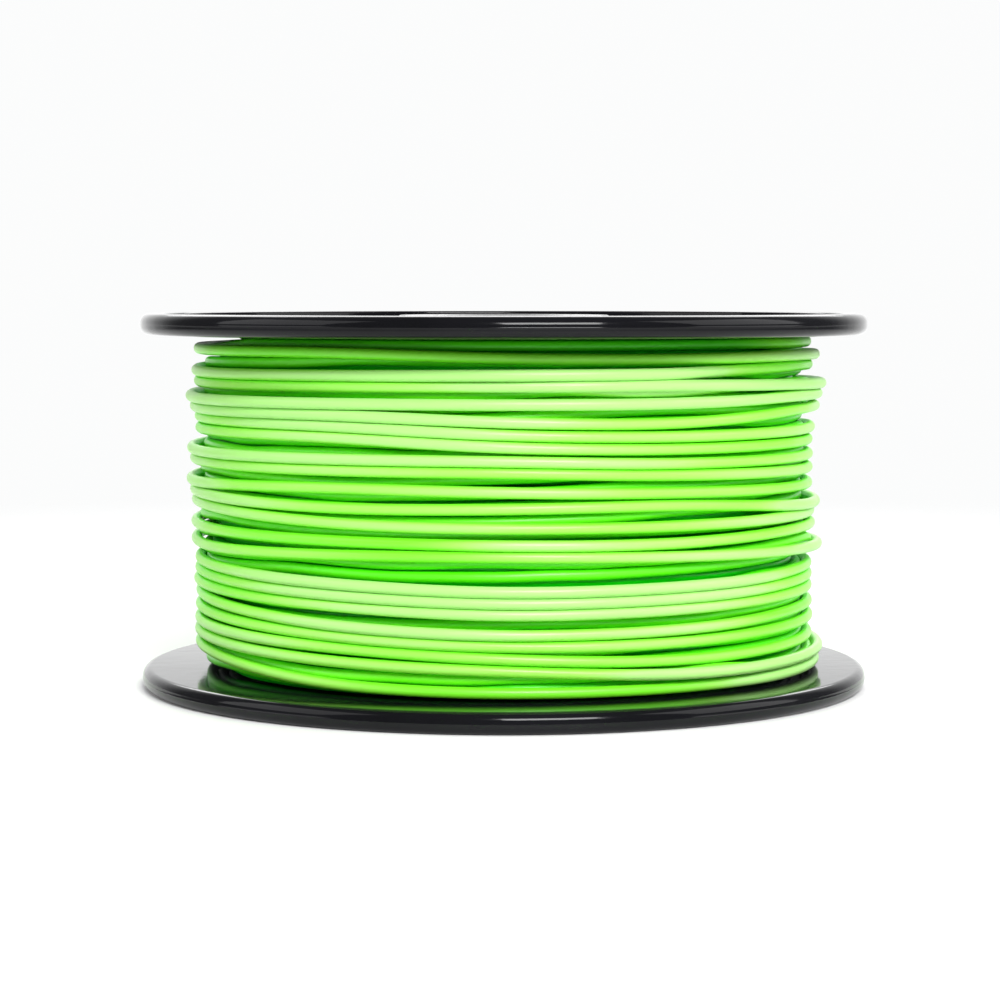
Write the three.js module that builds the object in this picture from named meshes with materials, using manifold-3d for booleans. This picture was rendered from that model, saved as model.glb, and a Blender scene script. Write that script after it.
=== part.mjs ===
// A wire spool: two identical moulded flanges snapped onto a barrel, with an arbor tube trapped between them and a
// full winding of single-core insulated wire. Millimetres, +Z up, standing on its lower flange, its axis on Z.
import * as THREE from "three";
import { mergeVertices } from "three/addons/utils/BufferGeometryUtils.js";
import Module from "manifold-3d";

const wasm = await Module();
wasm.setup();

// ---- Driving dimensions ----
const flangeDiameter = 165;
const overallHeight = 84.5;
const clearance = 0.3; // between pieces that seat on each other

// Flange
const rimWidth = 5.5; // radial width of the edge bead
const rimDraft = 0.4; // how far each half of the edge leans in from the parting line
const rimCorner = 1.1; // corner radius of the edge
const webThickness = 1.8; // the disc between hub and rim, flush with the inner face
const hubRadius = 24; // boss round the bore, on the outer face
const hubSetback = 0.4; // how far the boss stays below the rim's outer plane
const ribCount = 12;
const ribThickness = 1.4;
const ribHeight = 1.7;

// Barrel and arbor tube
const barrelDiameter = 72;
const barrelWall = 3;
const boreDiameter = 32;
const arborWall = 2.5;
const socketWall = 2.5; // the flange's ring round the end of the arbor tube
const socketHeight = 8;
const collarWall = 2.3; // the flange's ring inside the end of the barrel
const collarHeight = 5;
const hubRibCount = 6;

// Snap hooks, which stand on the collar and catch in windows through the barrel
const hookCount = 6;
const hookAngle = 16; // degrees
const hookRise = 6; // above the collar
const hookCatch = 1.7; // radial reach of the nose into its window
const hookNose = 3; // height of the nose

// Wire
const wireDiameter = 2.45;
const conductorDiameter = 1.13;
const woundDiameter = 143; // over the outermost turns
const shownDepth = 4; // outer layers, in wire diameters, kept apart from the ones below them
const slotPlay = 0.7; // how much wider the flange's wire slots are than the wire
const recessPlay = 0.45; // how much deeper the flange's outer recess is than the wire that lies in it

// ---- Sizes that follow ----
const degree = Math.PI / 180;
const flangeRadius = flangeDiameter / 2;
const boreRadius = boreDiameter / 2;
const arborRadius = boreRadius + arborWall;
const socketBore = arborRadius + clearance;
const socketRadius = socketBore + socketWall;
const barrelRadius = barrelDiameter / 2;
const barrelBore = barrelRadius - barrelWall;
const collarRadius = barrelBore - clearance;
const webOuterFace = wireDiameter + recessPlay;
const rimThickness = webOuterFace + webThickness; // edge bead, outer face to inner face
const slotWidth = wireDiameter + slotPlay;
const rimInner = flangeRadius - rimWidth;
const seatLow = rimThickness + clearance; // where barrel, arbor tube and wire start above the lower flange
const seatHigh = overallHeight - seatLow;
const seatLength = seatHigh - seatLow;
const wireRadius = wireDiameter / 2;
const woundRadius = woundDiameter / 2;
const shownInner = woundRadius - shownDepth * wireDiameter;
const hookBase = rimThickness + collarHeight;
const hookTop = hookBase + hookRise;

const aroundSteps = 72; // facets round the large circles
const boreSteps = 48;

// ---- Materials ----
const blackPlastic = new THREE.MeshStandardMaterial({ color: 0x17181a, roughness: 0.28, metalness: 0 });
const greyPlastic = new THREE.MeshStandardMaterial({ color: 0x2b2c2e, roughness: 0.5, metalness: 0 });
const greenInsulation = new THREE.MeshStandardMaterial({ color: 0x6fdc1e, roughness: 0.35, metalness: 0 });
const copper = new THREE.MeshStandardMaterial({ color: 0xc0703c, roughness: 0.3, metalness: 1 });

// ---- Solids ----
function solid(geometry) {
  const bare = geometry.index ? geometry.toNonIndexed() : geometry.clone();
  bare.deleteAttribute("normal");
  bare.deleteAttribute("uv");
  const merged = mergeVertices(bare, 1e-4);
  return new wasm.Manifold(
    new wasm.Mesh({
      numProp: 3,
      vertProperties: merged.attributes.position.array,
      triVerts: new Uint32Array(merged.index.array),
    }),
  );
}

function geometryOf(shape) {
  const mesh = shape.getMesh();
  return new THREE.BufferGeometry()
    .setAttribute("position", new THREE.BufferAttribute(mesh.vertProperties, 3))
    .setIndex(new THREE.BufferAttribute(mesh.triVerts, 1));
}

function named(name, shape, material) {
  const geometry = shape.isBufferGeometry ? shape : geometryOf(shape);
  const mesh = new THREE.Mesh(geometry, material);
  mesh.name = name;
  return mesh;
}

// A closed outline of [radius, height] points turned about Z, listed with the material on its left.
function turned(outline, steps = aroundSteps) {
  const points = [...outline, outline[0]].map(([r, h]) => new THREE.Vector2(r, h));
  return solid(new THREE.LatheGeometry(points, steps).rotateX(Math.PI / 2));
}

function ring(inner, outer, low, high, steps = aroundSteps) {
  return turned([[inner, low], [outer, low], [outer, high], [inner, high]], steps);
}

// Points of a corner arc, from one angle to another in degrees.
function corner(r, h, radius, from, to, steps = 3) {
  return Array.from({ length: steps + 1 }, (_, i) => {
    const angle = (from + ((to - from) * i) / steps) * degree;
    return [r + radius * Math.cos(angle), h + radius * Math.sin(angle)];
  });
}

// A bar that lies along X from one radius to another, turned to an azimuth.
function spoke(inner, outer, thickness, low, high, azimuth) {
  return solid(
    new THREE.BoxGeometry(outer - inner, thickness, high - low)
      .translate((inner + outer) / 2, 0, (low + high) / 2)
      .rotateZ(azimuth * degree),
  );
}

// A wedge about Z that opens by an angle on each side of its azimuth.
function wedge(halfAngle, azimuth, reach, low, high) {
  const shape = new THREE.Shape();
  shape.moveTo(0, 0);
  shape.absarc(0, 0, reach, (azimuth - halfAngle) * degree, (azimuth + halfAngle) * degree, false);
  const geometry = new THREE.ExtrudeGeometry(shape, {
    depth: high - low,
    bevelEnabled: false,
    curveSegments: 4,
  });
  return solid(geometry.translate(0, 0, low));
}

// A slot with round ends that follows a circle about Z.
function arcSlot(radius, width, from, to, low, high) {
  const start = from * degree;
  const end = to * degree;
  const half = width / 2;
  const shape = new THREE.Shape();
  shape.absarc(0, 0, radius + half, start, end, false);
  shape.absarc(radius * Math.cos(end), radius * Math.sin(end), half, end, end + Math.PI, false);
  shape.absarc(0, 0, radius - half, end, start, true);
  const back = start + Math.PI;
  shape.absarc(radius * Math.cos(start), radius * Math.sin(start), half, back, back + Math.PI, false);
  const geometry = new THREE.ExtrudeGeometry(shape, {
    depth: high - low,
    bevelEnabled: false,
    curveSegments: 6,
  });
  return solid(geometry.translate(0, 0, low));
}

function joined(solids) {
  return solids.reduce((all, one) => all.add(one));
}

function spread(count, make, offset = 0) {
  return Array.from({ length: count }, (_, i) => make(offset + (i * 360) / count));
}

// ---- Flange, lying with its outer face down at z 0 ----
const ribOffset = 15; // the first rib's azimuth, which leaves a clear bay at 90 degrees
const startSlot = { radius: barrelRadius + clearance + slotWidth / 2, from: 81, to: 96 };
const endSlot = { radius: rimInner - slotWidth / 2 - clearance, from: 52, to: 67 };

function flangeSolid() {
  const draft = flangeRadius - rimDraft - rimCorner;
  const halfRim = rimThickness / 2;
  const disc = turned([
    [boreRadius, hubSetback],
    [hubRadius, hubSetback],
    [hubRadius, webOuterFace],
    [rimInner, webOuterFace],
    [rimInner, 0],
    ...corner(draft, rimCorner, rimCorner, -90, 0),
    [flangeRadius, halfRim],
    ...corner(draft, rimThickness - rimCorner, rimCorner, 0, 90),
    [socketRadius, rimThickness],
    [socketRadius, rimThickness + socketHeight],
    [socketBore, rimThickness + socketHeight],
    [socketBore, rimThickness],
    [boreRadius, rimThickness],
  ]);
  // Rings and ribs start this far inside the disc, so that they join it.
  const root = webThickness / 2;
  const collar = ring(collarRadius - collarWall, collarRadius, rimThickness - root, hookBase);
  const ribLow = webOuterFace - ribHeight;
  const outerRibs = spread(
    ribCount,
    (a) => spoke(hubRadius - root, rimInner + root, ribThickness, ribLow, webOuterFace + root, a),
    ribOffset,
  );
  const hubRibs = spread(
    hubRibCount,
    (a) => spoke(socketRadius - root, collarRadius - root, ribThickness, rimThickness - root, hookBase, a),
    ribOffset,
  );
  const slots = [startSlot, endSlot].map((s) =>
    arcSlot(s.radius, slotWidth, s.from, s.to, ribLow, rimThickness + 1),
  );
  return joined([disc, collar, ...outerRibs, ...hubRibs, hooksSolid()]).subtract(joined(slots));
}

// The six hooks: a springy tab with a nose whose lead-in slope faces the barrel's end.
function hooksSolid() {
  const tab = collarRadius - collarWall;
  const noseLow = hookTop - hookNose;
  const outline = [
    [tab, hookBase - 1],
    [collarRadius, hookBase - 1],
    [collarRadius, noseLow],
    [collarRadius + hookCatch, noseLow],
    [collarRadius + hookCatch, noseLow + hookNose / 3],
    [collarRadius, hookTop],
    [tab, hookTop],
  ];
  const wedges = spread(hookCount, (a) => wedge(hookAngle / 2, a, flangeRadius, 0, overallHeight));
  return turned(outline).intersect(joined(wedges));
}

// ---- Barrel, with a ring of windows at each end ----
function barrelSolid() {
  const tube = ring(barrelBore, barrelRadius, seatLow, seatHigh);
  const sideClearance = (clearance / collarRadius / degree) * 1.5;
  const windows = (low, high) =>
    spread(hookCount, (a) => wedge(hookAngle / 2 + sideClearance, a, barrelRadius + 2, low, high));
  const low = hookTop - hookNose - clearance;
  const high = hookTop + clearance;
  const upperWindows = windows(overallHeight - high, overallHeight - low);
  return tube.subtract(joined([...windows(low, high), ...upperWindows]));
}

// ---- Wire ends ----
// Routes of [radius, azimuth in degrees, lift] from the winding out through the lower flange. A lift of 0 lies
// in the flange's outer recess, and a lift of 1 lies on its inner face.
const recessHeight = webOuterFace / 2;
const faceHeight = seatLow + wireRadius;
const besideWinding = woundRadius + clearance + wireRadius;
const wireStartRoute = [
  [startSlot.radius, 81.5, 0.32],
  [startSlot.radius, 84.5, 0.18],
  [startSlot.radius + 0.1, 88, 0.05],
  [startSlot.radius + 0.9, 91.5, 0],
  [startSlot.radius + 2.8, 94.5, 0],
  [startSlot.radius + 6, 96, 0],
  [startSlot.radius + 10, 95.8, 0],
  [startSlot.radius + 15, 94, 0],
  [startSlot.radius + 20, 92, 0],
];
const wireEndRoute = [
  [besideWinding, 41, 1.08],
  [besideWinding + 0.2, 45, 1.07],
  [besideWinding + 0.6, 49, 1.04],
  [endSlot.radius - 0.2, 52.5, 0.89],
  [endSlot.radius, 56, 0.6],
  [endSlot.radius, 59.5, 0.27],
  [endSlot.radius - 0.1, 63, 0.05],
  [endSlot.radius - 0.4, 67, 0],
  [endSlot.radius - 1, 72, 0],
];

const up = new THREE.Vector3(0, 0, 1);

function along(route) {
  return new THREE.CatmullRomCurve3(
    route.map(([radius, azimuth, lift]) => {
      const height = recessHeight + lift * (faceHeight - recessHeight);
      return new THREE.Vector3(radius, 0, height).applyAxisAngle(up, azimuth * degree);
    }),
    false,
    "centripetal",
  );
}

const wireSides = 10;
const conductorGap = 0.32; // between conductor and insulation

function circle(shape, radius) {
  shape.absarc(0, 0, radius, 0, 2 * Math.PI, false);
  return shape;
}

function swept(route, outer, inner = 0) {
  const shape = circle(new THREE.Shape(), outer);
  if (inner) shape.holes.push(circle(new THREE.Path(), inner));
  return new THREE.ExtrudeGeometry(shape, {
    steps: route.length * 2,
    curveSegments: wireSides / 2, // a full circle gets twice this many
    extrudePath: along(route),
  });
}

// ---- Assembly ----
const spool = new THREE.Group();

const lowerFlange = named("lower_flange", flangeSolid(), blackPlastic);
spool.add(lowerFlange);

// The upper flange is the same moulding turned over about Y, so its slots stay on the +Y side.
const upper = new THREE.Group();
upper.rotation.y = Math.PI;
upper.position.z = overallHeight;
upper.add(named("upper_flange", flangeSolid(), blackPlastic));
spool.add(upper);

spool.add(named("barrel", barrelSolid(), greyPlastic));
spool.add(named("arbor_tube", ring(boreRadius, arborRadius, seatLow, seatHigh, boreSteps), greyPlastic));

const innerWire = ring(barrelRadius + clearance, shownInner - clearance, seatLow, seatHigh);
spool.add(named("wire_inner_layers", innerWire, greenInsulation));
spool.add(named("wire_outer_layers", ring(shownInner, woundRadius, seatLow, seatHigh), greenInsulation));

const insulationBore = conductorDiameter / 2 + conductorGap;
for (const [end, route] of Object.entries({ start: wireStartRoute, end: wireEndRoute })) {
  const sheath = solid(swept(route, wireRadius, insulationBore));
  spool.add(named(`wire_${end}_insulation`, sheath, greenInsulation));
  spool.add(named(`wire_${end}_conductor`, solid(swept(route, conductorDiameter / 2)), copper));
}

export default spool;
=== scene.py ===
import math

import bmesh
import bpy
import numpy as np
from mathutils import Matrix, Vector


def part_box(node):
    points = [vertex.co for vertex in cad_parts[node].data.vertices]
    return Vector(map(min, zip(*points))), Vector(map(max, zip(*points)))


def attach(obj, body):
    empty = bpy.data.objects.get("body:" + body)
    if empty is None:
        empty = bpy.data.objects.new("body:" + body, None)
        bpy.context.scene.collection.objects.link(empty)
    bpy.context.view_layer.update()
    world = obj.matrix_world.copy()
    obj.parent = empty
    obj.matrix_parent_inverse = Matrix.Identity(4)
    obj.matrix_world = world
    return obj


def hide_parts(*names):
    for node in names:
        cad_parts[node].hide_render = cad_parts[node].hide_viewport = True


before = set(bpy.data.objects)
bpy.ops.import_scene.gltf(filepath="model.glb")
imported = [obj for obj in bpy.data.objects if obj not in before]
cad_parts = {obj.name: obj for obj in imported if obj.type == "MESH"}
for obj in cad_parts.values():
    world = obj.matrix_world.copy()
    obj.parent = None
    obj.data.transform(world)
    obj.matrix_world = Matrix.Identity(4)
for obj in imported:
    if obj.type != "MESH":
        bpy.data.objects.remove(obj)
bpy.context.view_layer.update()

MM = 0.001


# ---- Sizes, in millimetres: from the CAD's boxes where they show there, else as the CAD names them ----
def node_box(node):
    low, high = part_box(node)
    return Vector(low) / MM, Vector(high) / MM


def outer_radius(node):
    return node_box(node)[1].x


FLANGE_RADIUS = outer_radius("lower_flange")
HEIGHT = node_box("upper_flange")[1].z
BARREL_RADIUS = outer_radius("barrel")
ARBOR_RADIUS = outer_radius("arbor_tube")
SEAT_LOW, SEAT_HIGH = (corner.z for corner in node_box("arbor_tube"))
WOUND_RADIUS = outer_radius("wire_outer_layers")
HIDDEN_RADIUS = outer_radius("wire_inner_layers")

CLEARANCE = 0.3
RIM_THICKNESS = 4.7
RIM_WIDTH = 5.5
RIM_DRAFT = 0.08  # the rim stands steeper and rounder here than in the CAD, as in the photo
RIM_CORNER = 2
WEB_THICKNESS = 1.8
HUB_RADIUS = 24
HUB_SETBACK = 0.4
RIB_COUNT = 12
RIB_THICKNESS = 1.4
RIB_HEIGHT = 1.7
RIB_OFFSET = 15
BORE_RADIUS = 16
SOCKET_WALL = 2.5
SOCKET_HEIGHT = 8
BARREL_WALL = 3
COLLAR_WALL = 2.3
COLLAR_HEIGHT = 5
HUB_RIB_COUNT = 6
HOOK_COUNT = 6
HOOK_ANGLE = 16
HOOK_RISE = 6
HOOK_CATCH = 1.7
HOOK_NOSE = 3
SLOT_WIDTH = 3.15
STRAND = 2.45
CONDUCTOR = 1.13
FILLET = 0.5  # a softening that the CAD leaves out

WEB_OUTER_FACE = RIM_THICKNESS - WEB_THICKNESS
RIM_INNER = FLANGE_RADIUS - RIM_WIDTH
SOCKET_BORE = ARBOR_RADIUS + CLEARANCE
SOCKET_RADIUS = SOCKET_BORE + SOCKET_WALL
COLLAR_RADIUS = BARREL_RADIUS - BARREL_WALL - CLEARANCE
COLLAR_INNER = COLLAR_RADIUS - COLLAR_WALL
HOOK_BASE = RIM_THICKNESS + COLLAR_HEIGHT
ROOT = WEB_THICKNESS / 2  # how far ribs and collar reach into what they stand on
STRAND_RADIUS = STRAND / 2


def new_object(name, data):
    made = bpy.data.objects.new(name, data)
    bpy.context.collection.objects.link(made)
    return made


# ---- Camera ----
CAMERA_DISTANCE = 650.3
CAMERA_HEIGHT = 89.3
CAMERA_TILT = 0.073  # radians below level
CAMERA_TURN = 0.00135  # radians to the left
PICTURE_WIDTH = 36
FOCAL_LENGTH = 102.3876


def make_camera():
    """A long lens from just above the spool, looking a little down at it."""
    data = bpy.data.cameras.new("camera")
    data.sensor_width = PICTURE_WIDTH
    data.lens = FOCAL_LENGTH
    data.clip_start, data.clip_end = 0.01, 50
    camera = new_object("camera", data)
    camera.location = (0, -CAMERA_DISTANCE * MM, CAMERA_HEIGHT * MM)
    camera.rotation_euler = (math.pi / 2 - CAMERA_TILT, 0, CAMERA_TURN)
    bpy.context.scene.camera = camera


# ---- Mesh helpers ----
def new_mesh(name, vertices, faces):
    mesh = bpy.data.meshes.new(name)
    mesh.from_pydata([tuple(v) for v in vertices], [], [tuple(map(int, f)) for f in faces])
    return mesh


def raw_object(vertices, faces):
    """A part of a boolean, in millimetres."""
    return new_object("raw", new_mesh("raw", np.asarray(vertices), faces))


def add_mesh(name, vertices, faces, material, slot):
    """A new piece from millimetre points."""
    return finish_object(name, new_mesh(name, np.asarray(vertices) * MM, faces), material)


def finish_object(name, mesh, material):
    """A smooth piece from a mesh in metres, which rides on the spool's one body."""
    mesh.materials.append(material)
    mesh.polygons.foreach_set("use_smooth", [True] * len(mesh.polygons))
    piece = new_object(name, mesh)
    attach(piece, "root")
    return piece


def arc(r, h, radius, start, end, steps):
    """Points of an arc round (r, h) between two angles in degrees."""
    angles = np.radians(np.linspace(start, end, steps + 1))
    return [(r + radius * math.cos(a), h + radius * math.sin(a)) for a in angles]


def band_faces(rows, count, closed=False):
    """The faces between rows of count points, where each row is a ring."""
    faces = []
    for i in range(rows if closed else rows - 1):
        after = (i + 1) % rows
        for j in range(count):
            k = (j + 1) % count
            faces.append((i * count + j, after * count + j, after * count + k, i * count + k))
    return faces


def lathe(outline, steps):
    """Turns a closed outline of (radius, height) points about Z, with the material on its left."""
    r, h = np.array(outline).T
    angles = np.linspace(0, 2 * math.pi, steps, endpoint=False)
    rows = [np.stack([r * math.cos(a), r * math.sin(a), h], 1) for a in angles]
    return np.concatenate(rows), band_faces(steps, len(outline), closed=True)


def join_solid(target, other, operation="UNION"):
    """Joins another object to a target, or cuts it away, and removes it."""
    boolean = target.modifiers.new("join", "BOOLEAN")
    boolean.operation, boolean.solver, boolean.object = operation, "EXACT", other
    made = bpy.data.meshes.new_from_object(target.evaluated_get(bpy.context.evaluated_depsgraph_get()))
    target.modifiers.clear()
    target.data = made
    bpy.data.objects.remove(other)


def rounded_bar(inner, outer, thickness, low, high, azimuth, edge=0.3):
    """A bar with softened edges along a radius."""
    mesh = bmesh.new()
    bmesh.ops.create_cube(mesh, size=1)
    size = Matrix.Diagonal((outer - inner, thickness, high - low, 1))
    place = Matrix.Translation(((inner + outer) / 2, 0, (low + high) / 2))
    bmesh.ops.transform(mesh, matrix=place @ size, verts=mesh.verts)
    bmesh.ops.bevel(mesh, geom=mesh.edges[:], offset=edge, segments=2, affect="EDGES", profile=0.5)
    bmesh.ops.rotate(mesh, matrix=Matrix.Rotation(math.radians(azimuth), 3, "Z"), verts=mesh.verts)
    data = bpy.data.meshes.new("bar")
    mesh.to_mesh(data)
    mesh.free()
    return new_object("bar", data)


def extruded(points, low, high):
    """A prism over a flat outline that runs anticlockwise."""
    count = len(points)
    vertices = [(x, y, low) for x, y in points] + [(x, y, high) for x, y in points]
    faces = [(i, (i + 1) % count, (i + 1) % count + count, i + count) for i in range(count)]
    faces += [tuple(reversed(range(count))), tuple(range(count, 2 * count))]
    return raw_object(vertices, faces)


def slot_outline(radius, width, start, end, steps=20):
    """A slot with round ends that follows a circle, as a flat outline."""
    half = width / 2

    def sweep(centre_radius, centre_angle, arc_radius, first, last):
        middle = np.array([math.cos(centre_angle), math.sin(centre_angle)]) * centre_radius
        return [
            tuple(middle + arc_radius * np.array([math.cos(a), math.sin(a)]))
            for a in np.linspace(first, last, steps, endpoint=False)
        ]

    start, end = math.radians(start), math.radians(end)
    return (
        sweep(0, 0, radius + half, start, end)
        + sweep(radius, end, half, end, end + math.pi)
        + sweep(0, 0, radius - half, end, start)
        + sweep(radius, start, half, start + math.pi, start + 2 * math.pi)
    )


# ---- Flanges ----
START_SLOT = {"radius": BARREL_RADIUS + CLEARANCE + SLOT_WIDTH / 2, "start": 81, "end": 96}
END_SLOT = {"radius": RIM_INNER - SLOT_WIDTH / 2 - CLEARANCE, "start": 52, "end": 67}
PARTING_STEP = 0.06  # how far the lower mould half's edge stands out from the upper one's


def flange_outline():
    """The flange's section, its outer face down, with soft edges and a parting line round its rim."""
    rounding = FLANGE_RADIUS - RIM_DRAFT - RIM_CORNER
    half = RIM_THICKNESS / 2
    return [
        *arc(BORE_RADIUS + FILLET, HUB_SETBACK + FILLET, FILLET, 180, 270, 3),
        *arc(HUB_RADIUS - FILLET, HUB_SETBACK + FILLET, FILLET, -90, 0, 3),
        (HUB_RADIUS, WEB_OUTER_FACE),
        (RIM_INNER, WEB_OUTER_FACE),
        *arc(RIM_INNER + FILLET, FILLET, FILLET, 180, 270, 3),
        *arc(rounding, RIM_CORNER, RIM_CORNER, -90, 0, 12),
        (FLANGE_RADIUS - PARTING_STEP - 0.04, half - 0.12),
        (FLANGE_RADIUS - PARTING_STEP, half - 0.02),
        (FLANGE_RADIUS, half + 0.02),
        (FLANGE_RADIUS - 0.03, half + 0.15),
        *arc(rounding, RIM_THICKNESS - RIM_CORNER, RIM_CORNER, 0, 90, 12),
        (SOCKET_RADIUS, RIM_THICKNESS),
        (SOCKET_RADIUS, RIM_THICKNESS + SOCKET_HEIGHT),
        (SOCKET_BORE, RIM_THICKNESS + SOCKET_HEIGHT),
        (SOCKET_BORE, RIM_THICKNESS),
        (BORE_RADIUS, RIM_THICKNESS),
    ]


def collar_object():
    section = [
        (COLLAR_INNER, RIM_THICKNESS - ROOT),
        (COLLAR_RADIUS, RIM_THICKNESS - ROOT),
        (COLLAR_RADIUS, HOOK_BASE),
        (COLLAR_INNER, HOOK_BASE),
    ]
    return raw_object(*lathe(section, 96))


def rib_object(azimuth):
    """A rib of the outer face, from the hub to the rim."""
    low, high = WEB_OUTER_FACE - RIB_HEIGHT, WEB_OUTER_FACE + ROOT
    return rounded_bar(HUB_RADIUS - ROOT, RIM_INNER + ROOT, RIB_THICKNESS, low, high, azimuth)


def hub_rib_object(azimuth):
    """A rib inside the barrel, from the socket to the collar."""
    inner, outer = SOCKET_RADIUS - ROOT, COLLAR_RADIUS - ROOT
    return rounded_bar(inner, outer, RIB_THICKNESS, RIM_THICKNESS - ROOT, HOOK_BASE, azimuth)


def hook_object(azimuth, sunk=1, steps=6):
    """A springy tab on the collar, with a nose that catches in the barrel's window."""
    top = HOOK_BASE + HOOK_RISE
    nose = COLLAR_RADIUS + HOOK_CATCH
    section = [
        (COLLAR_INNER, HOOK_BASE - sunk),
        (COLLAR_RADIUS, HOOK_BASE - sunk),
        (COLLAR_RADIUS, top - HOOK_NOSE),
        (nose, top - HOOK_NOSE),
        (nose, top - HOOK_NOSE * 2 / 3),
        (COLLAR_RADIUS, top),
        (COLLAR_INNER, top),
    ]
    angles = np.radians(azimuth + np.linspace(-HOOK_ANGLE / 2, HOOK_ANGLE / 2, steps + 1))
    vertices = [(r * math.cos(a), r * math.sin(a), h) for a in angles for r, h in section]
    count = len(section)
    faces = band_faces(steps + 1, count)
    faces += [tuple(range(count)), tuple(reversed(range(steps * count, (steps + 1) * count)))]
    return raw_object(vertices, faces)


def flange_object():
    """The whole moulding as one solid in millimetres, with its outer face down."""
    flange = raw_object(*lathe(flange_outline(), 288))
    join_solid(flange, collar_object())
    for i in range(RIB_COUNT):
        join_solid(flange, rib_object(RIB_OFFSET + i * 360 / RIB_COUNT))
    for i in range(HUB_RIB_COUNT):
        join_solid(flange, hub_rib_object(RIB_OFFSET + i * 360 / HUB_RIB_COUNT))
    for i in range(HOOK_COUNT):
        join_solid(flange, hook_object(i * 360 / HOOK_COUNT))
    for slot in (START_SLOT, END_SLOT):
        outline = slot_outline(slot["radius"], SLOT_WIDTH, slot["start"], slot["end"])
        join_solid(flange, extruded(outline, 0.5, RIM_THICKNESS + 1), "DIFFERENCE")
    return flange


def make_flanges(material):
    """Both flanges are one moulding, and the upper one is turned over about Y."""
    lower = flange_object()
    turned_over = Matrix.Translation((0, 0, HEIGHT)) @ Matrix.Rotation(math.pi, 4, "Y")
    for node, placed in (("lower_flange", Matrix.Identity(4)), ("upper_flange", turned_over)):
        mesh = lower.data.copy()
        mesh.transform(Matrix.Scale(MM, 4) @ placed)
        mesh.materials.clear()
        piece = finish_object(node + "_moulding", mesh, material)
        with_sharp_edges(piece)
        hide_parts(node)
    bpy.data.objects.remove(lower)


def with_sharp_edges(piece, angle=32):
    """Keeps faces smooth except across edges that turn more than an angle in degrees."""
    edges = bmesh.new()
    edges.from_mesh(piece.data)
    bmesh.ops.recalc_face_normals(edges, faces=edges.faces)
    for edge in edges.edges:
        edge.smooth = len(edge.link_faces) == 2 and edge.calc_face_angle(0) < math.radians(angle)
    edges.to_mesh(piece.data)
    edges.free()


def make_arbor_tube(material):
    outline = [
        *arc(BORE_RADIUS + FILLET, SEAT_LOW + FILLET, FILLET, 180, 270, 3),
        *arc(ARBOR_RADIUS - FILLET, SEAT_LOW + FILLET, FILLET, -90, 0, 3),
        *arc(ARBOR_RADIUS - FILLET, SEAT_HIGH - FILLET, FILLET, 0, 90, 3),
        *arc(BORE_RADIUS + FILLET, SEAT_HIGH - FILLET, FILLET, 90, 180, 3),
    ]
    piece = add_mesh("arbor_lining", *lathe(outline, 128), material, "core_plastic")
    with_sharp_edges(piece)
    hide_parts("arbor_tube")


# ---- The winding ----
TURN_STEPS = 180  # places round the spool where the wire's path is worked out
WIRE_LOW, WIRE_HIGH = SEAT_LOW + STRAND_RADIUS, SEAT_HIGH - STRAND_RADIUS
SETTLED_INSIDE = 0.6  # how far most outer turns lie inside the winding's full radius
SLACK = 0.03  # how firmly an inner turn is pulled back to its line, where 1 holds it there
GRIP = 0.35  # the steepest strand that a turn doesn't slide off
SEED = 3

# The layers under the outer one: how many turns, how unevenly spaced, and how far a turn wanders.
LAYERS = [(29, 0.05, 0.1), (28, 0.15, 0.25), (26, 0.35, 0.45)]

# The outer layer's turns, from the top down: each one's height at five places round the front, left to
# right, judged from the photo. The places are shares of a turn, which runs from the spool's right
# round the back.
FRONT_PLACES = (0.55, 2 / 3, 0.75, 5 / 6, 0.95)
OUTER_TURNS = [
    (76.6, 76.9, 75.6, 75.3, 75.7),
    (71.6, 72.0, 72.4, 72.4, 73.4),
    (69.2, 69.6, 70.1, 70.1, 69.1),
    (65.9, 66.3, 66.3, 66.2, 66.8),
    (63.6, 64.1, 62.6, 61.8, 63.9),
    (61.4, 61.8, 59.9, 59.2, 59.1),
    (58.9, 59.4, 57.4, 56.6, 56.4),
    (54.2, 54.7, 54.8, 53.6, 53.1),
    (51.9, 52.3, 52.4, 51.2, 50.2),
    (47.2, 48.8, 48.3, 47.6, 46.5),
    (45.0, 44.3, 44.9, 45.2, 42.3),
    (42.7, 41.2, 40.8, 40.6, 40.5),
    (37.4, 37.5, 37.4, 36.9, 37.6),
    (33.3, 34.6, 35.1, 34.3, 32.7),
    (29.5, 28.8, 27.7, 28.0, 28.4),
    (27.0, 26.4, 25.3, 25.6, 25.9),
    (24.5, 24.0, 22.9, 23.2, 23.4),
    (21.9, 19.9, 18.7, 18.9, 19.6),
    (18.9, 17.6, 16.3, 16.2, 16.4),
    (16.0, 15.2, 13.9, 12.3, 12.4),
    (13.5, 12.2, 11.5, 9.5, 9.5),
    (10.7, 7.2, 6.7, 6.6, 6.7),
]
BACK_WANDER = 0.5

# Where the top turn stands away from the winding: the share of the turn, how far, and over what share.
LOOSE_PLACE, LOOSE_HEIGHT, LOOSE_WIDTH = 0.97, 0.8, 0.04

# How much of the last turn's end a turn keeps, from its own start on.
FADE = np.clip(1 - np.arange(TURN_STEPS) / 24, 0, 1) ** 2


def blur(values, sigma):
    """Gaussian blur along a line of samples, which keeps the slope at its ends."""
    reach = int(3 * sigma) + 1
    kernel = np.exp(-0.5 * (np.arange(-reach, reach + 1) / sigma) ** 2)
    padded = np.pad(values, reach, mode="reflect", reflect_type="odd")
    return np.convolve(padded, kernel / kernel.sum(), mode="valid")


def widest(values, reach):
    """The highest value within reach samples on each side."""
    padded = np.pad(values, reach, mode="edge")
    return np.lib.stride_tricks.sliding_window_view(padded, 2 * reach + 1).max(axis=1)


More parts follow.
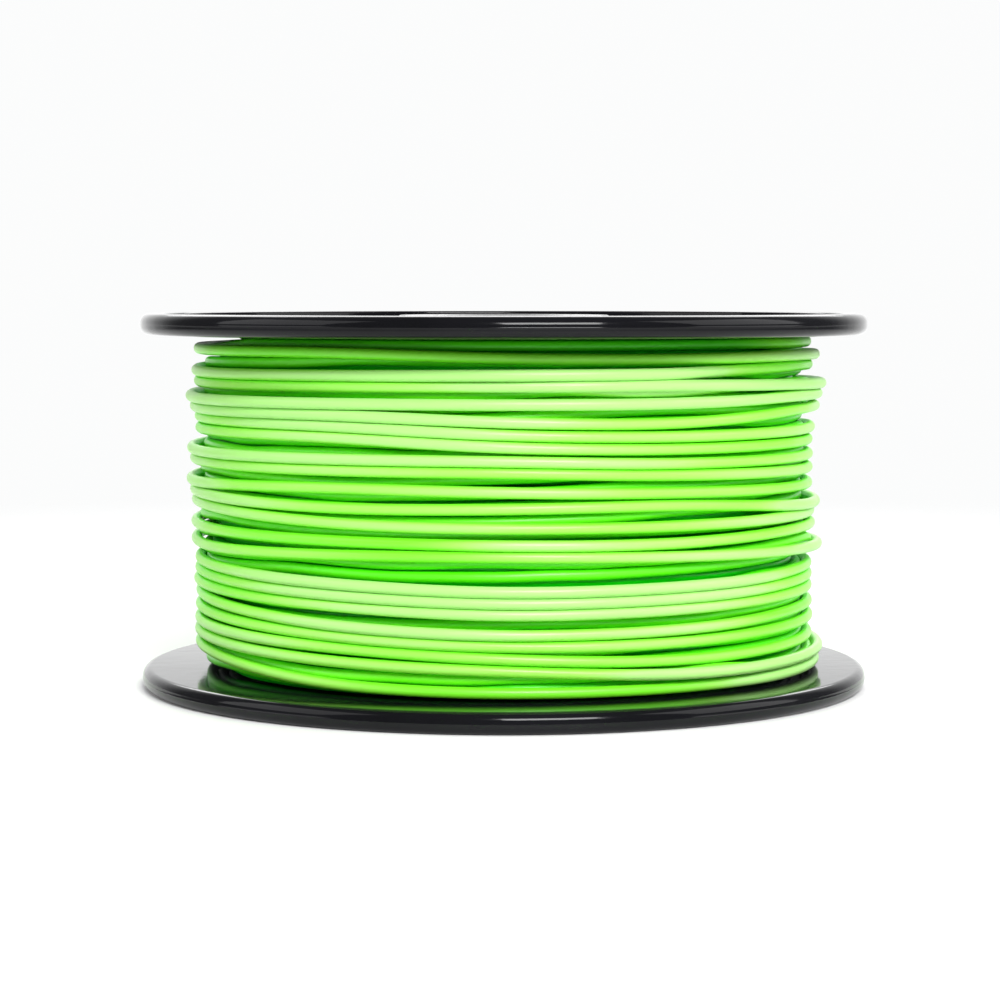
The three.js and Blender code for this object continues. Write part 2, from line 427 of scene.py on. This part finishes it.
def support(z, laid_z, laid_r, floor):
    """How far out a strand at heights z rests on what is laid, and how that changes with z."""
    if not len(laid_z):
        return np.full_like(z, floor), np.zeros_like(z)
    apart = z - laid_z
    lift = np.sqrt(np.maximum(STRAND**2 - apart**2, 1e-4))
    reach = np.where(np.abs(apart) < STRAND, laid_r + lift, floor)
    top = reach.argmax(axis=0)
    steps = np.arange(len(z))
    height = reach[top, steps]
    slope = np.where(height > floor, -apart[top, steps] / lift[top, steps], 0)
    return height, slope


def settle(guide, laid_z, laid_r, floor, start, pull, slide_step=0.16, rounds=30):
    """Lets a turn slide off the strands below into the grooves between them, as far as it bends."""
    z = guide.copy()
    for _ in range(rounds):
        _, slope = support(z, laid_z, laid_r, floor)
        slide = np.where(np.abs(slope) > GRIP, -np.clip(slope, -1.5, 1.5) * slide_step, 0)
        z = blur(z + slide, 1.6)
        z += pull * (guide - z)
        if start is not None:
            z += (start[0] - z[0]) * FADE
        z = np.clip(z, WIRE_LOW, WIRE_HIGH)
    height, _ = support(z, laid_z, laid_r, floor)
    r = blur(widest(height, 3), 3)
    r = np.maximum(r, blur(np.maximum(r, height), 1.5))
    if start is not None:
        r += (start[1] - r[0]) * FADE
    return z, r


def smooth_noise(rng, length, period):
    """Smooth noise of unit size along a line, which changes over a period of samples."""
    knots = rng.normal(size=int(length / period) + 4)
    place = np.arange(length) / period + 1
    left = place.astype(int)
    t = place - left
    t = t * t * (3 - 2 * t)
    return knots[left] * (1 - t) + knots[left + 1] * t


def outer_guide(rng):
    """The outer layer's line of heights: as judged round the front, wandering a little round the back."""
    shares, heights = [0], [WIRE_HIGH]
    for number, turn in enumerate(OUTER_TURNS):
        shares += [number + place for place in FRONT_PLACES]
        heights += turn
    shares.append(len(OUTER_TURNS))
    heights.append(heights[-1])
    place = np.arange(len(OUTER_TURNS) * TURN_STEPS) / TURN_STEPS
    line = blur(np.interp(place, shares, heights), 5)
    behind = np.clip(np.sin(2 * math.pi * place), 0, 1)
    return line + BACK_WANDER * behind * smooth_noise(rng, len(line), TURN_STEPS * 0.3)


def wandering_guide(rng, turns, unevenness, wander, up):
    """A layer's line of heights, from one flange to the other."""
    spacing = rng.uniform(1 - unevenness, 1 + unevenness, turns)
    marks = np.concatenate([[0], np.cumsum(spacing)]) / spacing.sum()
    marks = marks if up else 1 - marks
    heights = WIRE_LOW + marks * (WIRE_HIGH - WIRE_LOW)
    line = np.interp(np.arange(turns * TURN_STEPS) / TURN_STEPS, np.arange(turns + 1), heights)
    line += wander * smooth_noise(rng, len(line), TURN_STEPS * 0.45)
    return line + wander / 2 * smooth_noise(rng, len(line), TURN_STEPS * 0.17)


def lay_layer(line, laid_z, laid_r, pull, start):
    """Lays a layer's turns one after the other on all that is laid so far."""
    floor = HIDDEN_RADIUS + STRAND_RADIUS
    for guide in np.clip(line, WIRE_LOW, WIRE_HIGH).reshape(-1, TURN_STEPS):
        z, r = settle(guide, laid_z, laid_r, floor, start, pull)
        laid_z, laid_r = np.vstack([laid_z, z]), np.vstack([laid_r, r])
        start = (z[-1], r[-1])
    return laid_z, laid_r


def lay_outer_layer(line, laid_z, laid_r):
    """Lays the outer layer from its bottom end, so each turn lies over the one below, as in the photo."""
    count = len(laid_z)
    flipped = lay_layer(line[::-1], laid_z[:, ::-1], laid_r[:, ::-1], 1, None)
    outer_z, outer_r = (rows[count:][::-1, ::-1].copy() for rows in flipped)
    outer_z[0] += (laid_z[-1][-1] - outer_z[0][0]) * FADE
    outer_r[0] += (laid_r[-1][-1] - outer_r[0][0]) * FADE
    shares = np.arange(TURN_STEPS) / TURN_STEPS
    for turn, middle in ((0, LOOSE_PLACE), (1, LOOSE_PLACE - 1)):
        outer_r[turn] += LOOSE_HEIGHT * np.exp(-0.5 * ((shares - middle) / LOOSE_WIDTH) ** 2)
    return outer_z, outer_r


def wind():
    """Lays the wire turn by turn, back and forth between the flanges, over the hidden core."""
    rng = np.random.default_rng(SEED)
    laid_z, laid_r = np.empty((0, TURN_STEPS)), np.empty((0, TURN_STEPS))
    ends, start = [], None
    for number, layer in enumerate(LAYERS):
        line = wandering_guide(rng, *layer, up=number % 2 == 0)
        laid_z, laid_r = lay_layer(line, laid_z, laid_r, SLACK, start)
        start = (laid_z[-1][-1], laid_r[-1][-1])
        ends.append(len(laid_z))
    outer_z, outer_r = lay_outer_layer(outer_guide(rng), laid_z, laid_r)
    laid_z, laid_r = np.vstack([laid_z, outer_z]), np.vstack([laid_r, outer_r])
    laid_r -= np.percentile(outer_r, 60) + STRAND_RADIUS - WOUND_RADIUS + SETTLED_INSIDE
    ends.append(len(laid_z))
    return laid_z, laid_r, ends


def tube(points, radius, sides):
    """A closed round tube along a line of millimetre points."""
    points = np.asarray(points)
    along = np.gradient(points, axis=0)
    along /= np.linalg.norm(along, axis=1)[:, None]
    outward = points * [1, 1, 0] + [0, 0, 1e-6]
    side = np.cross(along, outward)
    side /= np.linalg.norm(side, axis=1)[:, None]
    outward = np.cross(side, along)
    turn = np.linspace(0, 2 * math.pi, sides, endpoint=False)
    across = np.cos(turn)[:, None] * outward[:, None] + np.sin(turn)[:, None] * side[:, None]
    rings = points[:, None] + radius * across
    count = len(points)
    i, j = np.meshgrid(np.arange(count - 1), np.arange(sides), indexing="ij")
    k = (j + 1) % sides
    near, far = i * sides, (i + 1) * sides
    faces = np.stack([near + j, near + k, far + k, far + j], -1).reshape(-1, 4)
    caps = [tuple(reversed(range(sides))), tuple(range((count - 1) * sides, count * sides))]
    return rings.reshape(-1, 3), [tuple(f) for f in faces] + caps


def turn_points(z, r):
    """The points of whole turns laid one after the other."""
    angles = np.tile(np.arange(TURN_STEPS) * 2 * math.pi / TURN_STEPS, len(z))
    z, r = z.reshape(-1), r.reshape(-1)
    return np.stack([r * np.cos(angles), r * np.sin(angles), z], 1)


def core_outline(core_radius):
    """The section of the layers that aren't wound turn by turn, its face ridged at a strand's spacing."""
    heights = np.linspace(SEAT_LOW, SEAT_HIGH, 241)
    ridges = 1 - np.abs(np.sin((heights - SEAT_LOW) / STRAND * math.pi))
    inner = BARREL_RADIUS + CLEARANCE
    return [(inner, SEAT_LOW), *zip(core_radius - STRAND_RADIUS * ridges, heights), (inner, SEAT_HIGH)]


def make_winding(material):
    """The wound wire, one piece to a layer, over a ridged core. Returns where the last turn ends."""
    z, r, ends = wind()
    last_height, last_radius = z[-1][-1], r[-1][-1]
    begin = 0
    for number, end in enumerate(ends, 1):
        points = turn_points(z[begin:end], r[begin:end])
        if end < len(z):
            following = turn_points(z[end : end + 1], r[end : end + 1])[:1]
        else:
            following = [(last_radius, 0, last_height)]
        points = np.concatenate([points, following])
        sides = 16 if number > 2 else 10
        wound = tube(points, STRAND_RADIUS, sides)
        layer = add_mesh(f"wire_layer_{number}", *wound, material, "green_insulation")
        begin = end
    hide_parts("wire_outer_layers")
    outline = core_outline(r[: ends[0]].min() - STRAND_RADIUS)
    core = add_mesh("wire_core_layers", *lathe(outline, 120), material, "green_insulation")
    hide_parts("wire_inner_layers")
    return last_height, last_radius


# ---- The wire's two ends ----
RECESS_HEIGHT = WEB_OUTER_FACE / 2
FACE_HEIGHT = SEAT_LOW + STRAND_RADIUS
BESIDE_WINDING = WOUND_RADIUS + CLEARANCE + STRAND_RADIUS
# The routes are (radius, azimuth in degrees, lift) points, with lift 0 in the flange's recess and 1 for
# a wire that lies on the flange's inner face.
START_ROUTE = [
    (START_SLOT["radius"], 81.5, 0.32),
    (START_SLOT["radius"], 84.5, 0.18),
    (START_SLOT["radius"] + 0.1, 88, 0.05),
    (START_SLOT["radius"] + 0.9, 91.5, 0),
    (START_SLOT["radius"] + 2.8, 94.5, 0),
    (START_SLOT["radius"] + 6, 96, 0),
    (START_SLOT["radius"] + 10, 95.8, 0),
    (START_SLOT["radius"] + 15, 94, 0),
    (START_SLOT["radius"] + 20, 92, 0),
]
END_ROUTE = [
    (BESIDE_WINDING, 41, 1.08),
    (BESIDE_WINDING + 0.2, 45, 1.07),
    (BESIDE_WINDING + 0.6, 49, 1.04),
    (END_SLOT["radius"] - 0.2, 52.5, 0.89),
    (END_SLOT["radius"], 56, 0.6),
    (END_SLOT["radius"], 59.5, 0.27),
    (END_SLOT["radius"] - 0.1, 63, 0.05),
    (END_SLOT["radius"] - 0.4, 67, 0),
    (END_SLOT["radius"] - 1, 72, 0),
]


def route_points(route, steps=12):
    """A smooth line in millimetres through a route's points."""
    knots = []
    for radius, azimuth, lift in route:
        height = RECESS_HEIGHT + lift * (FACE_HEIGHT - RECESS_HEIGHT)
        angle = math.radians(azimuth)
        knots.append(np.array([radius * math.cos(angle), radius * math.sin(angle), height]))
    knots = [2 * knots[0] - knots[1], *knots, 2 * knots[-1] - knots[-2]]
    line = []
    for a, b, c, d in zip(knots, knots[1:], knots[2:], knots[3:]):
        square, cube = 2 * a - 5 * b + 4 * c - d, 3 * b - a - 3 * c + d
        line += [0.5 * (2 * b + (c - a) * t + square * t**2 + cube * t**3) for t in np.arange(steps) / steps]
    return np.array([*line, knots[-2]])


def lead_to_end(height, radius, count=4):
    """The route from the last turn's end, at azimuth 0, to where the free end's route begins."""
    first_radius, first_azimuth, first_lift = END_ROUTE[0]
    lift = (height - RECESS_HEIGHT) / (FACE_HEIGHT - RECESS_HEIGHT)
    return [
        (radius + (first_radius - radius) * t**3, first_azimuth * t, lift + (first_lift - lift) * t)
        for t in np.arange(count) / count
    ]


def make_wire_ends(green, copper, last_height, last_radius):
    routes = {"start": START_ROUTE, "end": lead_to_end(last_height, last_radius) + END_ROUTE}
    for end, route in routes.items():
        line = route_points(route)
        insulation = tube(line, STRAND_RADIUS, 20)
        sheath = add_mesh(f"wire_{end}_sheath", *insulation, green, "green_insulation")
        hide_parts(f"wire_{end}_insulation")
        tip = 2 * line[-1] - line[-2]
        conductor = tube([line[-2], line[-1], tip], CONDUCTOR / 2, 16)
        core = add_mesh(f"wire_{end}_copper", *conductor, copper, "copper_conductor")
        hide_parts(f"wire_{end}_conductor")


# ---- Materials ----
def new_material(name):
    material = bpy.data.materials.new(name)
    material.use_nodes = True
    tree = material.node_tree
    return material, tree.nodes, tree.links, tree.nodes["Principled BSDF"]


def noise_node(nodes, links, scale, detail=3):
    """Noise in the object's own metres."""
    place = nodes.new("ShaderNodeTexCoord")
    texture = nodes.new("ShaderNodeTexNoise")
    texture.inputs["Scale"].default_value = scale
    texture.inputs["Detail"].default_value = detail
    links.new(place.outputs["Object"], texture.inputs["Vector"])
    return texture.outputs["Fac"]


def ramp(nodes, links, source, low, high):
    """A colour that runs from low to high with a source between 0.3 and 0.7."""
    node = nodes.new("ShaderNodeValToRGB")
    for element, place, colour in zip(node.color_ramp.elements, (0.3, 0.7), (low, high)):
        element.position = place
        element.color = (*colour, 1)
    links.new(source, node.inputs["Fac"])
    return node.outputs["Color"]


def vary_gloss(nodes, links, shader, source, low, high):
    """Lets the roughness run between two values with a source."""
    links.new(ramp(nodes, links, source, (low,) * 3, (high,) * 3), shader.inputs["Roughness"])


def add_bump(nodes, links, shader, source, distance):
    bump = nodes.new("ShaderNodeBump")
    bump.inputs["Distance"].default_value = distance
    links.new(source, bump.inputs["Height"])
    links.new(bump.outputs["Normal"], shader.inputs["Normal"])


def distance_from_axis(nodes, links):
    """How far out from the spool's axis a point is, in metres."""
    place = nodes.new("ShaderNodeTexCoord")
    flat = nodes.new("ShaderNodeVectorMath")
    flat.operation = "MULTIPLY"
    flat.inputs[1].default_value = (1, 1, 0)
    length = nodes.new("ShaderNodeVectorMath")
    length.operation = "LENGTH"
    links.new(place.outputs["Object"], flat.inputs[0])
    links.new(flat.outputs["Vector"], length.inputs[0])
    return length.outputs["Value"]


def green_material(name):
    """Smooth lime insulation, faintly uneven, with slow changes of gloss and no colour yet."""
    material, nodes, links, shader = new_material(name)
    vary_gloss(nodes, links, shader, noise_node(nodes, links, 120), 0.32, 0.42)
    shader.inputs["IOR"].default_value = 1.5
    add_bump(nodes, links, shader, noise_node(nodes, links, 900, 4), 0.00002)
    return material, nodes, links, shader


def free_wire_material():
    """The insulation of the wire's two ends, which varies a little in colour."""
    material, nodes, links, shader = green_material("green_free_wire")
    colour = ramp(nodes, links, noise_node(nodes, links, 40), (0.35, 0.77, 0.16), (0.38, 0.78, 0.20))
    links.new(colour, shader.inputs["Base Color"])
    return material


# The wound wire's colour at depths in millimetres below the winding's face: painted shade, which turns the
# strands from the lime of the free wire ends at the face to a darker, richer green towards the gaps between
# them and in the layers below.
DEPTH_SHADE_COLOURS = [
    (4.8, (0.00, 0.60, 0.000)),
    (3.6, (0.08, 0.80, 0.002)),
    (2.4, (0.16, 0.82, 0.010)),
    (1.1, (0.18, 0.82, 0.020)),
    (0.5, (0.30, 0.79, 0.080)),
    (0.0, (0.37, 0.77, 0.190)),
]


def wound_wire_painted_shade_material():
    """The wound insulation, with painted shade that darkens it by how deep in the winding it lies."""
    material, nodes, links, shader = green_material("green_wound_wire_painted_shade")
    face = WOUND_RADIUS - SETTLED_INSIDE
    deepest = DEPTH_SHADE_COLOURS[0][0]
    place = nodes.new("ShaderNodeMapRange")
    place.inputs["From Min"].default_value = (face - deepest) * MM
    place.inputs["From Max"].default_value = face * MM
    links.new(distance_from_axis(nodes, links), place.inputs["Value"])
    colour = nodes.new("ShaderNodeValToRGB")
    elements = colour.color_ramp.elements
    elements.remove(elements[0])
    elements[0].position, elements[0].color = 1, (*DEPTH_SHADE_COLOURS[-1][1], 1)
    for depth, value in DEPTH_SHADE_COLOURS[:-1]:
        elements.new(1 - depth / deepest).color = (*value, 1)
    links.new(place.outputs[0], colour.inputs["Fac"])
    links.new(colour.outputs["Color"], shader.inputs["Base Color"])
    return material


def flange_material():
    """Black moulded plastic: glossy, with a faint orange peel and an uneven polish."""
    material, nodes, links, shader = new_material("flange_plastic")
    colour = ramp(nodes, links, noise_node(nodes, links, 25), (0.004, 0.004, 0.005), (0.007, 0.007, 0.009))
    links.new(colour, shader.inputs["Base Color"])
    vary_gloss(nodes, links, shader, noise_node(nodes, links, 60, 6), 0.06, 0.14)
    shader.inputs["IOR"].default_value = 1.3
    add_bump(nodes, links, shader, noise_node(nodes, links, 220, 3), 0.00003)
    return material


def core_material():
    """Dark grey plastic with a dull, fine-grained face, for the barrel and the arbor tube."""
    material, nodes, links, shader = new_material("core_plastic")
    colour = ramp(nodes, links, noise_node(nodes, links, 30), (0.020, 0.021, 0.023), (0.032, 0.033, 0.036))
    links.new(colour, shader.inputs["Base Color"])
    vary_gloss(nodes, links, shader, noise_node(nodes, links, 90), 0.40, 0.55)
    add_bump(nodes, links, shader, noise_node(nodes, links, 1200), 0.00002)
    return material


def copper_material():
    """Bare drawn copper."""
    material, nodes, links, shader = new_material("copper")
    colour = ramp(nodes, links, noise_node(nodes, links, 800), (0.80, 0.40, 0.23), (0.90, 0.50, 0.32))
    links.new(colour, shader.inputs["Base Color"])
    shader.inputs["Metallic"].default_value = 1
    vary_gloss(nodes, links, shader, noise_node(nodes, links, 1500), 0.22, 0.40)
    return material


def dress_cad_node(node, material):
    """Gives a CAD node that stays its finished material."""
    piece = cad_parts[node]
    piece.data.materials.clear()
    piece.data.materials.append(material)


# ---- Studio ----
BACKDROP = (0.97, 0.975, 0.975)
AMBIENT = 0.52
FRONT_REFLECTION = 0.15
REAR_REFLECTION = 1.4


def make_world():
    """A plain surround: white to the camera, and in reflections bright behind and dim in front."""
    world = bpy.data.worlds.new("surround")
    bpy.context.scene.world = world
    world.use_nodes = True
    nodes, links = world.node_tree.nodes, world.node_tree.links

    def backdrop(strength, node):
        node.inputs["Color"].default_value = (*BACKDROP, 1)
        node.inputs["Strength"].default_value = strength
        return node.outputs[0]

    def mixed(factor, first, second):
        node = nodes.new("ShaderNodeMixShader")
        links.new(factor, node.inputs["Fac"])
        links.new(first, node.inputs[1])
        links.new(second, node.inputs[2])
        return node.outputs[0]

    white = backdrop(1, nodes.new("ShaderNodeBackground"))
    bright = backdrop(REAR_REFLECTION, nodes.new("ShaderNodeBackground"))
    dim = backdrop(FRONT_REFLECTION, nodes.new("ShaderNodeBackground"))
    ambient = backdrop(AMBIENT, nodes["Background"])
    path = nodes.new("ShaderNodeLightPath")
    shown = mixed(path.outputs["Is Glossy Ray"], ambient, mixed(share_behind(nodes, links), dim, bright))
    shown = mixed(path.outputs["Is Transmission Ray"], shown, white)
    shown = mixed(path.outputs["Is Camera Ray"], shown, white)
    links.new(shown, nodes["World Output"].inputs["Surface"])


def share_behind(nodes, links):
    """0 in the world's front and sides, rising to 1 straight behind the spool."""
    direction = nodes.new("ShaderNodeTexCoord")
    split = nodes.new("ShaderNodeSeparateXYZ")
    links.new(direction.outputs["Generated"], split.inputs[0])
    behind = nodes.new("ShaderNodeMapRange")
    behind.interpolation_type = "SMOOTHSTEP"
    behind.inputs["From Min"].default_value = 0.5
    behind.inputs["From Max"].default_value = 0.95
    links.new(split.outputs["Y"], behind.inputs["Value"])
    return behind.outputs[0]


TABLE_RADIUS = 0.75
TABLE_SOLID_RADIUS = 0.12  # where the table starts to fade
TABLE_CLEAR_RADIUS = TABLE_RADIUS * 0.8


def make_table():
    """A white round table that fades into the surround, so that no horizon shows."""
    outline = bmesh.new()
    bmesh.ops.create_circle(outline, cap_ends=True, segments=128, radius=TABLE_RADIUS)
    mesh = bpy.data.meshes.new("table")
    outline.to_mesh(mesh)
    outline.free()
    mesh.materials.append(table_material())
    new_object("table", mesh)


def table_material():
    """Matt white, which turns clear towards the table's edge."""
    material, nodes, links, shader = new_material("table_white")
    shader.inputs["Base Color"].default_value = (0.9, 0.9, 0.9, 1)
    shader.inputs["Roughness"].default_value = 0.7
    shader.inputs["Specular IOR Level"].default_value = 0.2
    place = nodes.new("ShaderNodeTexCoord")
    distance = nodes.new("ShaderNodeVectorMath")
    distance.operation = "LENGTH"
    links.new(place.outputs["Object"], distance.inputs[0])
    fade = nodes.new("ShaderNodeMapRange")
    fade.interpolation_type = "SMOOTHSTEP"
    fade.inputs["From Min"].default_value = TABLE_SOLID_RADIUS
    fade.inputs["From Max"].default_value = TABLE_CLEAR_RADIUS
    links.new(distance.outputs["Value"], fade.inputs["Value"])
    clear = nodes.new("ShaderNodeBsdfTransparent")
    mix = nodes.new("ShaderNodeMixShader")
    links.new(fade.outputs[0], mix.inputs["Fac"])
    links.new(shader.outputs[0], mix.inputs[1])
    links.new(clear.outputs[0], mix.inputs[2])
    links.new(mix.outputs[0], nodes["Material Output"].inputs["Surface"])
    return material


# Each lamp's place and its width and height in metres, and its power in watts.
LAMPS = {
    "key": ((0.25, -0.95, 0.60), 0.55, 0.36, 12.5),
    "left": ((-1.2, -0.3, 0.7), 1.1, 1.1, 6),
    "right": ((1.2, -0.2, 0.7), 1.1, 1.1, 8),
    "back": ((0, 1.1, 0.9), 1.2, 0.8, 12),
}


def make_lamps():
    """Soft rectangular lamps that point at the middle of the spool."""
    for name, (place, width, height, power) in LAMPS.items():
        data = bpy.data.lights.new(name, "AREA")
        data.shape, data.size, data.size_y, data.energy = "RECTANGLE", width, height, power
        light = new_object(name, data)
        light.location = place
        aim = Vector((0, 0, HEIGHT * MM / 2)) - Vector(place)
        light.rotation_euler = aim.to_track_quat("-Z", "Y").to_euler()


# ---- Assembly ----
bpy.context.scene.view_settings.view_transform = "Standard"
make_camera()
black, grey, copper = flange_material(), core_material(), copper_material()
make_flanges(black)
make_arbor_tube(grey)
dress_cad_node("barrel", grey)
last_height, last_radius = make_winding(wound_wire_painted_shade_material())
make_wire_ends(free_wire_material(), copper, last_height, last_radius)
make_world()
make_table()
make_lamps()
